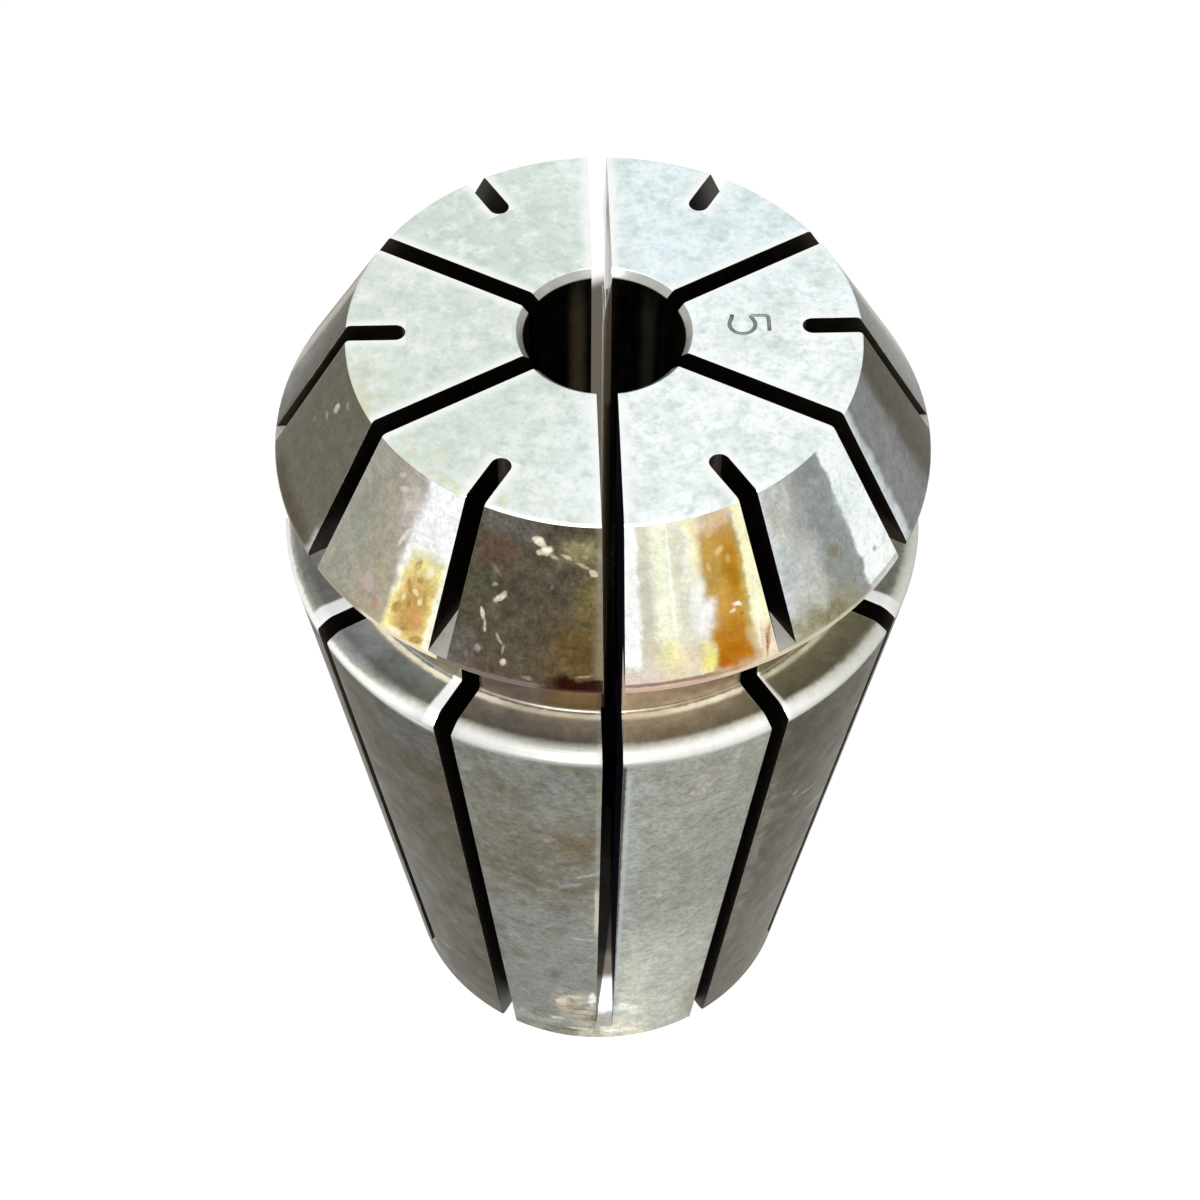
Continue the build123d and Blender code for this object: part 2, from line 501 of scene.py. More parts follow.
class Finish:
    """A steel finish: a ground colour with layers laid over it. Colours are given as screen values."""

    def __init__(self, name, ground):
        self.material = bpy.data.materials.new(name)
        self.material.use_nodes = True
        self.tree = self.material.node_tree
        self.place = self.group("place_on_collet", {})
        self.colour = tone(*ground)
        self.shared = {}

    def group(self, name, place, *values):
        """A node group: inputs named after a part of the place come from it, the others are these values."""
        made = node(self.tree, "ShaderNodeGroup", node_tree=bpy.data.node_groups[name])
        rest = iter(values)
        for socket in made.inputs:
            feed(socket, place[socket.name] if socket.name in place else next(rest))
        return dict(made.outputs.items())

    def once(self, name, *values):
        """A group on the plain place, made once for the same values."""
        if (name, values) not in self.shared:
            self.shared[name, values] = self.group(name, self.place, *values)
        return self.shared[name, values]

    def mix(self, blend, factor, colour):
        made = node(self.tree, "ShaderNodeMix", data_type="RGBA", blend_type=blend)
        for index, value in ((0, factor), (6, self.colour), (7, colour)):
            feed(made.inputs[index], value)
        self.colour = made.outputs[2]

    def lay(self, colour, mask, strength=1.0):
        """A colour laid over what is there, through a mask."""
        self.mix("MIX", mask if strength == 1.0 else product(mask, strength), tone(*colour))

    def shade(self, level):
        """What is there made lighter or darker by a level about 1."""
        self.mix("MULTIPLY", 1.0, level)

    def mottle(self, *clouds):
        """What is there shaded by soft blotches, each given as blotches per mm, low and high level."""
        for cloud in clouds:
            self.shade(self.clouds(*cloud))

    def clouds(self, per_mm, low=0.0, high=1.0):
        return self.once("cloud", per_mm, low, high)["Value"]

    def streaks(self, per_mm, stretch, low, high):
        return self.once("streaks", per_mm, stretch, low, high)["Value"]

    def turning(self, per_mm, low=0.0, high=1.0):
        return self.once("turning_lines", per_mm, low, high)["Value"]

    def ragged(self, grain, reach):
        """The place shaken with this grain per mm and reach in mm."""
        return self.place | self.once("ragged_place", grain, reach)

    def window(self, azimuth, depth, edges=(1.5, 0.2), ragged=(1.5, 0.5)):
        """A mask between two azimuths and two depths. Its soft edges are in degrees and mm."""
        place = self.ragged(*ragged) if ragged else self.place
        return self.group("patch", place, *azimuth, edges[0], *depth, edges[1])["Mask"]

    def patches(self, ragged, rows):
        """Areas: colour, azimuths, depths, soft edges, strength."""
        for colour, azimuth, depth, edges, strength in rows:
            self.lay(colour, self.window(azimuth, depth, edges, ragged), strength)

    def spots(self, rows):
        """Small stains: colour, azimuth, depth, half width, half height, tilt down to the right, strength."""
        for colour, azimuth, depth, across, along, tilt, strength in rows:
            angle = math.radians(tilt)
            mask = self.group("spot", self.ragged(3.2, 0.16), azimuth, depth, across, along,
                              math.cos(angle), math.sin(angle))["Mask"]
            broken = product(mask, self.clouds(8.0, 0.55, 1.3))
            self.lay(colour, maths("MINIMUM", broken, 1.0), strength)

    def done(self, roughness, height, relief, matt=0.0, edge_tint=1.0):
        """Joins the colour, the roughness and a bump of this relief in mm to the shader.

        The matt mask takes the metal's shine away. An edge tint below 1 darkens slanting views.
        """
        bump = node(self.tree, "ShaderNodeBump", {"Height": height, "Distance": relief * MM}).outputs[0]
        metal = maths("SUBTRACT", 1.0, matt) if is_socket(matt) else 1.0 - matt
        shader = self.tree.nodes["Principled BSDF"].inputs
        for socket, value in (("Base Color", self.colour), ("Metallic", metal), ("Roughness", roughness),
                              ("Specular Tint", (edge_tint, edge_tint, edge_tint, 1)), ("Normal", bump)):
            feed(shader[socket], value)
        return self.material


# ---- finishes ---------------------------------------------------------------------------
FACE_DEPTH = (-1, 1)                  # depths about the front face, in mm
WHITE = (250, 252, 249)
IVORY = (250, 250, 222)
CREAM = (232, 222, 190)
BUTTER = (247, 240, 165)
YELLOW = (250, 240, 95)
BEIGE = (212, 207, 190)
HONEY = (201, 153, 70)
OCHRE = (204, 146, 82)
DARK_RUST = (42, 18, 10)
SEPIA = (86, 79, 64)
DARK_SEPIA = (68, 60, 48)
OLIVE = (142, 135, 104)
STEEL = (146, 152, 149)
DARK_STEEL = (108, 106, 96)
PALE_STEEL = (192, 198, 196)


def front_face():
    """Ground flat, pale with a green cast, a little duller towards the left."""
    finish = Finish("front_face", (249, 255, 255))
    finish.patches(None, [
        ((222, 230, 219), (-165, -15), FACE_DEPTH, (70, 1), 0.95),
        ((206, 219, 208), (-180, -125), FACE_DEPTH, (50, 1), 0.6),
        ((226, 242, 248), (110, 181), FACE_DEPTH, (40, 1), 0.7),
    ])
    # grinding marks and mottling
    for colour, cloud, low, strength in (((190, 206, 196), (0.7, 0.0, 1.0), 0.35, 0.45),
                                         ((182, 202, 194), (2.4, 0.0, 1.0), 0.35, 0.55),
                                         (WHITE, (1.5, 1.0, 0.0), 0.45, 0.6),
                                         ((186, 202, 202), (5.5, 0.0, 1.0), 0.40, 0.35)):
        finish.lay(colour, remap(finish.clouds(*cloud), low, 1.0), strength)
    finish.shade(finish.turning(5.0, 0.965, 1.03))
    # a faint yellow stain along the front left rim
    rim = remap(finish.place["Radius"], FACE_RADIUS / MM - 1.5, FACE_RADIUS / MM)
    front_left = finish.window((-80, -8), FACE_DEPTH, (24, 1), None)
    finish.lay((212, 212, 172), product(rim, front_left, remap(finish.clouds(1.6), 0.35, 0.8)), 0.75)
    # painted highlight: white beside the slots, where their deburred edges catch the light
    finish.lay(WHITE, finish.once("beside_slots", 0.42)["Mask"], 0.8)
    return finish.done(finish.clouds(2.0, 0.22, 0.36), finish.turning(9.0), 0.0015)


def finish_jaw(name, ground, areas, rim, spots, mottle=0.16, roughness=(0.16, 0.30)):
    """One jaw's part of the nose cone: areas, the rim as areas without edges, spots and fine mottling."""
    finish = Finish(name, ground)
    broken = finish.clouds(1.7, 0.45, 1.35)
    for colour, azimuth, depth, edges, strength in areas:
        mask = finish.window(azimuth, depth, edges, (1.2, 0.6))
        if strength < 1.0:
            mask = maths("MINIMUM", product(mask, broken), 1.0)
        finish.lay(colour, mask, strength)
    finish.mottle((1.1, 0.90, 1.09), (3.0, 1 - mottle, 1 + mottle), (9.0, 1 - mottle, 1 + mottle))
    finish.spots(spots)
    finish.patches((4.0, 0.05), [(colour, azimuth, depth, (3, 0.07), strength)
                                 for colour, azimuth, depth, strength in rim])
    return finish.done(finish.clouds(1.5, *roughness), finish.turning(7.0), 0.0015)


def nose_left():
    """Greenish grey jaw with a white reflection band painted on, which ends in an amber stain."""
    areas = [
        ((170, 169, 173), (-60, -57), (-1, 3.2), (3, 1.4), 0.7),
        ((148, 153, 136), (-56, -49), (1.4, 4.2), (6, 2.0), 0.7),
        ((169, 160, 143), (-49.5, -41), (-1, 6), (5, 0.5), 1.0),
        ((198, 194, 190), (-46, -41), (0.2, 1.6), (4, 1.2), 0.7),
        ((206, 200, 196), (-42.6, -40.6), (-1, 2.8), (2.0, 1.0), 0.8),
        # painted reflection: the white and ivory rows from -42 to -30 degrees stand in for a reflection band
        # down the jaw; the butter and amber rows under it are stain
        ((242, 245, 244), (-41, -30), (-1, 2.15), (2.0, 0.9), 1.0),
        (BUTTER, (-41.4, -31), (2.1, 6), (1.8, 0.9), 1.0),
        (WHITE, (-42, -40.4), (1.5, 3.3), (1.4, 0.9), 0.9),
        ((216, 188, 122), (-40.2, -33.2), (2.5, 4.6), (2.8, 1.0), 1.0),
        ((186, 152, 88), (-38.6, -34.4), (2.9, 4.3), (2.6, 0.9), 0.85),
        (IVORY, (-33.1, -31), (2.0, 6), (0.7, 0.5), 1.0),
    ]
    rim = [
        ((150, 146, 124), (-62, -46), (4.40, 6), 0.8),
        ((232, 222, 190), (-46, -28), (4.46, 6), 0.9),
    ]
    spots = [
        ((206, 144, 88), -36, 3.75, 0.36, 0.30, 20, 0.5),
        ((146, 116, 46), -39.7, 3.75, 0.13, 0.24, 30, 0.75),
        ((146, 112, 44), -34.4, 4.32, 0.26, 0.10, -20, 0.75),
        ((148, 122, 50), -37.9, 2.35, 0.11, 0.20, 20, 0.65),
        ((142, 112, 46), -38.4, 3.02, 0.09, 0.22, -30, 0.65),
        ((156, 116, 52), -36.8, 2.74, 0.10, 0.10, 0, 0.6),
        ((150, 104, 44), -37.6, 3.46, 0.07, 0.16, 10, 0.6),
        ((160, 112, 50), -34.9, 3.12, 0.08, 0.18, -15, 0.6),
        ((150, 108, 44), -37.2, 4.20, 0.12, 0.08, 0, 0.6),
        ((246, 232, 190), -35.6, 3.28, 0.08, 0.12, 0, 0.8),
        ((248, 232, 188), -36.9, 3.10, 0.10, 0.07, 0, 0.8),
        ((246, 228, 178), -38.9, 3.40, 0.07, 0.12, 0, 0.8),
        (IVORY, -38.6, 4.40, 0.26, 0.12, 0, 0.85),
        ((250, 246, 226), -35.2, 2.40, 0.12, 0.18, 30, 0.8),
        ((182, 138, 104), -44, 4.10, 0.14, 0.15, 0, 0.7),
        ((200, 176, 182), -46.8, 3.60, 0.16, 0.34, -20, 0.5),
        ((168, 176, 138), -45.2, 3.20, 0.14, 0.12, 0, 0.7),
        ((214, 208, 198), -46.5, 0.75, 0.20, 0.09, -25, 0.8),
        ((210, 204, 194), -44.4, 1.05, 0.16, 0.10, -25, 0.7),
        ((206, 201, 192), -48.2, 0.45, 0.14, 0.07, -25, 0.7),
        ((204, 198, 188), -43.2, 0.62, 0.10, 0.18, 0, 0.7),
        ((228, 226, 224), -42.8, 1.9, 0.07, 0.35, 20, 0.8),
    ]
    return finish_jaw("nose_left", (160, 157, 145), areas, rim, spots)


def nose_front_left():
    """Dark brown jaw, partly tarnish and partly a painted dark reflection, with pale specks."""
    areas = [
        ((98, 95, 90), (-29, -14), (-1, 0.7), (6, 0.7), 0.85),
        ((98, 74, 62), (-27, -19), (0.8, 1.6), (4, 0.7), 0.7),
        ((80, 84, 64), (-27, -22), (1.5, 2.5), (4, 0.8), 0.6),
        (DARK_SEPIA, (-13, -3), (-1, 0.5), (4, 0.4), 0.8),
        ((146, 138, 100), (-10, -2), (0.5, 1.15), (6, 0.5), 0.75),
        ((76, 70, 60), (-20, -8), (1.1, 2.2), (8, 1.2), 0.6),
        ((124, 114, 66), (-6.2, -2), (1.5, 3.0), (5, 1.2), 0.75),
        ((98, 80, 46), (-11, -1), (2.5, 4.6), (10, 1.8), 0.75),
        ((104, 80, 38), (-9, -3), (3.0, 4.1), (6, 1.0), 0.6),
        ((106, 104, 100), (-30, -24), (3.5, 4.7), (5, 0.8), 0.7),
        ((94, 74, 66), (-26, -18), (3.9, 4.7), (6, 0.6), 0.45),
        (DARK_RUST, (-11, -1), (4.22, 6), (5, 0.18), 1.0),
    ]
    rim = [
        ((130, 116, 112), (-31, -12), (4.44, 6), 0.75),
        ((84, 52, 38), (-12, 1), (4.50, 6), 0.7),
        ((192, 178, 158), (-2.75, -1.5), (-1, 4.2), 0.5),
    ]
    spots = [
        ((244, 234, 210), -14.9, 0.60, 0.20, 0.11, 20, 0.9),
        ((246, 236, 212), -13.3, 0.80, 0.17, 0.12, -20, 1.0),
        ((226, 212, 186), -14.6, 0.86, 0.10, 0.07, 0, 0.8),
        ((206, 192, 164), -11.6, 0.94, 0.14, 0.06, 10, 0.7),
        ((206, 196, 168), -9.2, 0.92, 0.18, 0.05, 20, 0.6),
        ((206, 194, 166), -5.9, 1.12, 0.22, 0.05, 18, 0.6),
        ((226, 214, 186), -3.7, 1.30, 0.13, 0.09, 30, 0.8),
        ((230, 216, 192), -21.0, 2.32, 0.20, 0.09, -35, 0.95),
        ((206, 190, 168), -20.4, 2.16, 0.08, 0.06, -35, 0.8),
        ((190, 178, 156), -22.2, 2.02, 0.10, 0.05, -30, 0.7),
        ((150, 132, 114), -22.6, 1.60, 0.22, 0.06, 35, 0.5),
        ((224, 212, 194), -23.6, 2.88, 0.06, 0.16, -28, 0.95),
        ((206, 192, 172), -22.9, 3.10, 0.05, 0.10, -10, 0.8),
        ((208, 196, 176), -22.8, 3.26, 0.05, 0.12, -20, 0.8),
        ((186, 168, 150), -19.9, 3.44, 0.05, 0.18, -40, 0.8),
        ((184, 168, 150), -19.0, 3.68, 0.05, 0.14, 10, 0.7),
        ((222, 206, 194), -18.6, 4.04, 0.11, 0.10, 0, 0.9),
        ((165, 170, 172), -23.4, 3.84, 0.11, 0.10, 0, 0.7),
        ((172, 142, 124), -14.4, 4.32, 0.16, 0.06, 0, 0.7),
        ((190, 160, 126), -5.0, 4.12, 0.26, 0.04, -8, 0.6),
        ((126, 120, 118), -11.6, 1.75, 0.07, 0.07, 0, 0.5),
        ((118, 112, 106), -7.6, 1.62, 0.06, 0.06, 0, 0.5),
        ((140, 128, 112), -25.2, 4.10, 0.07, 0.08, 0, 0.5),
    ]
    return finish_jaw("nose_front_left", SEPIA, areas, rim, spots, mottle=0.30)


def nose_front_right():
    """Jaw painted white and ivory with streaks along its length as reflections, with the large amber stain.
    """
    areas = [
        # painted reflection: the white and ivory rows from 0 to 18 and from 25 to 30 degrees stand in for
        # reflection bands; the honey and amber rows are the stain
        ((240, 242, 216), (7.4, 11.6), (-1, 3.6), (2.2, 1.2), 1.0),
        ((233, 232, 208), (11.4, 13.6), (-1, 3.8), (1.6, 0.8), 0.9),
        ((240, 240, 228), (13.8, 17.0), (-1, 3.3), (1.8, 0.6), 1.0),
        (WHITE, (15.6, 18.4), (2.2, 3.1), (1.8, 0.6), 1.0),
        ((243, 235, 182), (14.8, 17.0), (-1, 1.6), (2.0, 1.0), 0.8),
        ((192, 154, 78), (16.8, 25.2), (0.5, 2.4), (2.2, 0.6), 1.0),
        ((216, 182, 134), (18.0, 24.2), (-0.2, 0.55), (3, 0.5), 0.85),
        ((206, 158, 72), (18.8, 25.0), (2.1, 3.5), (2.0, 0.6), 1.0),
        ((186, 134, 38), (21.2, 24.8), (0.9, 2.5), (2.8, 0.9), 1.0),
        ((188, 132, 44), (17.2, 24.0), (3.1, 4.42), (2.2, 0.45), 1.0),
        ((170, 104, 16), (18.0, 22.8), (3.5, 4.3), (3.0, 0.5), 0.9),
        ((196, 172, 92), (24.0, 25.6), (0.8, 4.2), (1.4, 1.0), 0.8),
        ((250, 246, 204), (25.3, 30), (-1, 3.7), (1.0, 0.6), 1.0),
        ((240, 230, 146), (7.6, 11.2), (3.3, 4.25), (2.8, 0.7), 0.6),
        ((234, 214, 178), (11.4, 14.6), (3.5, 4.35), (2.0, 0.5), 0.7),
        (YELLOW, (14.8, 17.4), (3.5, 4.3), (1.8, 0.6), 0.7),
        ((226, 204, 194), (2, 9), (3.9, 4.5), (3, 0.4), 0.8),
        (WHITE, (0, 4.8), (-1, 3.85), (1.0, 0.4), 1.0),
        ((240, 220, 186), (25.0, 30), (3.4, 6), (1.2, 0.5), 0.9),
    ]
    rim = [
        ((112, 74, 54), (1, 17), (4.34, 4.44), 0.75),
        ((204, 168, 152), (1, 18), (4.46, 6), 0.9),
        ((222, 198, 170), (18, 31), (4.46, 6), 0.9),
        ((146, 104, 70), (13, 22), (4.40, 4.47), 0.5),
    ]
    # the long thin white spots at 26.2, 9.6, 10.9 and 12.4 degrees are painted reflection streaks
    spots = [
        ((238, 206, 142), 21.2, 1.12, 0.17, 0.10, -30, 0.85),
        ((232, 198, 130), 19.6, 0.62, 0.14, 0.10, 0, 0.6),
        ((234, 200, 140), 18.6, 1.50, 0.07, 0.15, 0, 0.6),
        ((228, 190, 124), 22.6, 1.42, 0.08, 0.12, 0, 0.6),
        ((255, 250, 236), 22.7, 2.72, 0.15, 0.07, 15, 1.0),
        ((246, 228, 190), 21.6, 2.84, 0.09, 0.06, 0, 0.85),
        ((132, 92, 26), 23.3, 3.02, 0.08, 0.05, 0, 0.6),
        ((168, 114, 14), 23.2, 1.95, 0.22, 0.34, 0, 0.6),
        ((176, 120, 24), 21.4, 3.15, 0.18, 0.20, 0, 0.6),
        ((178, 84, 10), 18.8, 4.20, 0.18, 0.12, 0, 0.6),
        ((178, 96, 12), 21.2, 3.9, 0.16, 0.14, 0, 0.5),
        ((152, 92, 62), 26.7, 4.0, 0.05, 0.40, 14, 0.9),
        ((176, 120, 92), 27.4, 3.8, 0.04, 0.34, 14, 0.8),
        ((252, 250, 240), 26.2, 3.1, 0.05, 0.9, 10, 0.8),
        ((200, 192, 178), 6.2, 2.4, 0.16, 0.6, 0, 0.4),
        ((206, 190, 152), 6.4, 3.45, 0.24, 0.20, 0, 0.5),
        ((240, 244, 220), 9.6, 1.0, 0.08, 0.9, 0, 0.6),
        ((208, 212, 192), 12.4, 1.6, 0.05, 1.4, 0, 0.5),
        ((255, 255, 250), 10.9, 1.6, 0.05, 1.6, 0, 0.7),
    ]
    return finish_jaw("nose_front_right", BEIGE, areas, rim, spots, mottle=0.11, roughness=(0.14, 0.26))


def nose_right():
    """Pale jaw, blue-grey in the middle, with a white reflection band painted on."""
    areas = [
        ((216, 218, 222), (30, 33.2), (-1, 6), (2.0, 0.5), 0.8),
        ((178, 184, 164), (33.2, 36.4), (0.5, 1.3), (2.5, 0.8), 0.6),
        ((184, 200, 206), (32.6, 36.2), (1.9, 2.9), (3, 1.0), 0.5),
        ((168, 167, 163), (37.2, 42), (-1, 2.2), (4, 1.2), 0.9),
        (STEEL, (41.0, 51), (-1, 6), (5, 0.5), 1.0),
        ((176, 170, 162), (37, 42), (2.7, 3.4), (3, 0.7), 0.5),
        ((150, 145, 116), (31, 46.5), (3.75, 4.6), (4, 0.7), 0.95),
        ((122, 114, 84), (37.5, 42.5), (4.0, 4.5), (4, 0.4), 0.7),
        # painted reflection: the white band from 49.8 to 60 degrees and the paler row under it
        ((242, 252, 250), (49.8, 60), (-1, 4.5), (1.2, 0.3), 1.0),
        ((222, 236, 234), (50, 54), (1.2, 2.6), (4, 1.2), 0.5),
    ]
    rim = [
        ((204, 198, 168), (29, 45), (4.45, 6), 0.85),
        ((150, 144, 124), (43, 62), (4.34, 4.46), 0.6),
        ((196, 184, 168), (45, 62), (4.47, 6), 0.8),
    ]
    spots = [
        ((128, 124, 92), 44.6, 2.72, 0.24, 0.20, 0, 0.75),
        ((138, 138, 116), 42.6, 2.95, 0.20, 0.14, 0, 0.5),
        ((148, 166, 160), 53.8, 3.65, 0.12, 0.09, 20, 0.85),
        ((126, 152, 144), 49.4, 3.25, 0.08, 0.12, 0, 0.5),
        # painted reflection: a white spot on the band
        ((255, 255, 255), 55.4, 0.6, 0.25, 0.3, 0, 0.6),
        ((134, 141, 142), 42.5, 1.6, 0.35, 0.22, -25, 0.4),
        ((178, 182, 180), 46.2, 0.7, 0.3, 0.10, 25, 0.4),
        ((214, 216, 214), 38.6, 0.5, 0.10, 0.30, 0, 0.5),
    ]
    return finish_jaw("nose_right", (194, 197, 191), areas, rim, spots)


def nose_rest():
    """The jaws round the sides and the back, each with its own tone, partly tarnish and partly pale and white
    bands painted in as reflections.
    """
    finish = Finish("nose_rest", DARK_STEEL)
    areas = [
        # the pale and white rows, as at 59 to 64.4 and -140 to -134 degrees, are painted reflection bands
        ((110, 107, 95), (-90, -60), (-1, 6), (2, 0.5), 1.0),
        ((86, 78, 62), (-84, -64), (4.0, 6), (8, 0.6), 0.8),
        ((190, 196, 196), (-62.6, -58), (3.6, 6), (1.5, 0.6), 0.7),
        ((204, 214, 217), (59, 64.4), (-1, 6), (2.0, 0.5), 1.0),
        ((138, 140, 142), (64.4, 77), (-1, 6), (4, 0.5), 1.0),
        ((98, 93, 81),
        (76, 91), (-1, 6), (8, 0.5), 1.0),
        (STEEL, (90, 104), (-1, 6), (2, 0.5), 1.0),
        (BEIGE, (104, 112), (-1, 6), (3, 0.5), 0.9),
        (SEPIA, (112, 120), (-1, 6), (3, 0.5), 0.8),
        (STEEL, (120, 150), (-1, 6), (1.6, 0.5), 0.8),
        (BEIGE, (140, 148), (-1, 6), (3, 0.5), 0.9),
        (SEPIA, (150, 168), (-1, 6), (4, 0.5), 0.9),
        (PALE_STEEL, (168, 181), (-1, 6), (3, 0.5), 0.8),
        (BEIGE, (-112, -105), (-1, 6), (3, 0.5), 0.9),
        (OLIVE, (-150, -124), (-1, 6), (4, 0.5), 0.7),
        (WHITE, (-140, -134), (-1, 6), (2, 0.5), 0.9),
        (SEPIA, (-181, -152), (-1, 6), (4, 0.5), 0.8),
        (OCHRE, (-131, -123), (2.2, 4.3), (2, 0.8), 0.7),
        (HONEY, (158, 165), (2.6, 4.4), (2, 0.8), 0.6),
        (OLIVE, (126, 138), (3.6, 4.6), (4, 0.5), 0.8),
    ]
    finish.patches((1.3, 0.55), areas)
    finish.spots([
        (CREAM, -75, 1.0, 0.13, 0.16, 10, 0.9),
        ((176, 168, 146), -77, 1.5, 0.12, 0.10, 10, 0.6),
        ((168, 160, 138), -72, 0.55, 0.12, 0.08, 10, 0.6),
        ((160, 150, 128), -80, 2.1, 0.10, 0.10, 0, 0.5),
        (CREAM, 160, 1.2, 0.5, 0.12, 15, 0.8),
        (CREAM, -164, 2.6, 0.12, 0.4, 20, 0.8),
    ])
    finish.mottle((2.4, 0.84, 1.15), (7.0, 0.86, 1.14))
    finish.patches(None, [((158, 150, 132), ALL_ROUND, (4.46, 5.0), (1, 0.08), 0.6)])
    return finish.done(finish.clouds(1.5, 0.18, 0.32), finish.turning(7.0), 0.0015, edge_tint=0.6)


def groove():
    """Tan at the front, darker at the front left, greyer round the sides."""
    finish = Finish("groove", (150, 144, 124))
    finish.patches((1.5, 0.5), [
        ((122, 110, 104), (-30, 0), (4, 9), (6, 0.3), 1.0),
        ((108, 90, 64), (-14, 0), (4, 9), (5, 0.3), 1.0),
        ((178, 162, 144), (0, 30), (4, 9), (3, 0.3), 1.0),
    ])
    finish.shade(finish.streaks(1.2, 4.0, 0.85, 1.15))
    finish.mottle((3.0, 0.85, 1.15))
    return finish.done(finish.clouds(1.5, 0.30, 0.44), finish.turning(6.0), 0.003)


def shoulder():
    """Dull grey ring under the groove, with a pale line painted at its root as a highlight, a white highlight
    painted on its outer edge and pale highlights painted beside the slots.
    """
    finish = Finish("shoulder", (126, 126, 120))
    azimuth, depth = finish.place["Azimuth"], finish.place["Depth"]
    ring = (7, 9)
    finish.patches((1.5, 0.5), [
        ((143, 148, 148), (-60, -47), ring, (4, 0.3), 1.0),
        ((125, 130, 128), (-48, -30), ring, (4, 0.3), 1.0),
        ((121, 116, 106), (-30, 0), ring, (4, 0.3), 1.0),
        ((136, 127, 107), (0, 30), ring, (4, 0.3), 1.0),
        ((119, 114, 92), (30, 60), ring, (4, 0.3), 1.0),
    ])
    finish.mottle((1.6, 0.84, 1.16), (5.0, 0.84, 1.16))
    finish.shade(remap(finish.place["Radius"], 9.0, 9.85, 1.25, 0.80, soft=False))
    radius = maths("ADD", finish.place["Radius"], finish.clouds(5.0, -0.03, 0.03))
    # painted highlight: a pale line at the root, where the corner to the groove catches the light
    root = product(remap(radius, 8.76, 8.86), remap(radius, 8.93, 9.12, 1.0, 0.0),
                   finish.clouds(1.3, 0.70, 1.10))
    # the painted highlight on the outer edge starts further out at the sides, and ends at the head of the
    # taper
    left = remap(azimuth, -24.0, -54.0, 0.0, 0.34)
    right = remap(azimuth, 26.0, 52.0, 0.0, 0.20)
    inwards = maths("SUBTRACT", radius, maths("ADD", left, right))
    highlight_ramp = remap(inwards, 9.84, 9.98, soft=False)
    edge_highlight = remap(inwards, 9.98, maths("SUBTRACT", 10.32, product(left, 0.76)), soft=False)
    ended = product(remap(depth, 8.03, 8.40, soft=False), remap(azimuth, -46.0, -30.0, 0.15, 1.0))
    # painted highlight on the outer edge: grey rising to white
    finish.lay((166, 166, 154), highlight_ramp)
    finish.lay((255, 255, 252), edge_highlight)
    # painted shade: the edge highlight is made duller in front, where the lamp lights it most, and a little
    # at the far left
    from_front = maths("ABSOLUTE", maths("ADD", azimuth, 12.0))
    painted_shade = maths("MAXIMUM", remap(from_front, 0.0, 40.0, 0.46, 0.0, soft=False),
                 remap(left, 0.05, 0.25, 0.0, 0.22, soft=False))
    finish.shade(maths("SUBTRACT", 1.0, product(highlight_ramp, painted_shade)))
    finish.lay((124, 127, 122), ended, 0.9)
    finish.shade(finish.streaks(3.0, 3.0, 0.95, 1.05))
    # the painted root highlight, paler in two spans
    finish.lay((182, 175, 154), root)
    pale = maths("MAXIMUM", *(finish.window(span, ring, (8, 0.3), None) for span in ((-60, -22), (13, 29))))
    finish.lay((212, 206, 188), product(root, pale))
    # painted highlights: pale bands beside the slots, where their deburred edges catch the light
    lip_highlights = 0.0
    for start, end, strength in ((-34.2, -31.4, 1.0), (31.4, 32.7, 0.8), (-65.0, -61.4, 0.9),
                                 (61.4, 64.8, 0.9), (-2.7, -1.6, 0.15), (1.6, 2.4, 0.15),
                                 (91.2, 94.5, 0.9), (-95, -91.2, 0.9)):
        lip_highlight = product(finish.window((start, end), (7.9, 9), (0.8, 0.1), (2.5, 0.06)), strength)
        lip_highlights = maths("MAXIMUM", lip_highlights, lip_highlight)
    finish.lay((224, 225, 229), product(lip_highlights, maths("SUBTRACT", 1.0, ended)))
    matt = maths("MAXIMUM", maths("MAXIMUM", root, lip_highlights), 0.35)
    matt = maths("MAXIMUM", matt, product(highlight_ramp, 0.92))
    return finish.done(finish.clouds(1.5, 0.32, 0.46), finish.turning(6.0), 0.003, matt=matt)


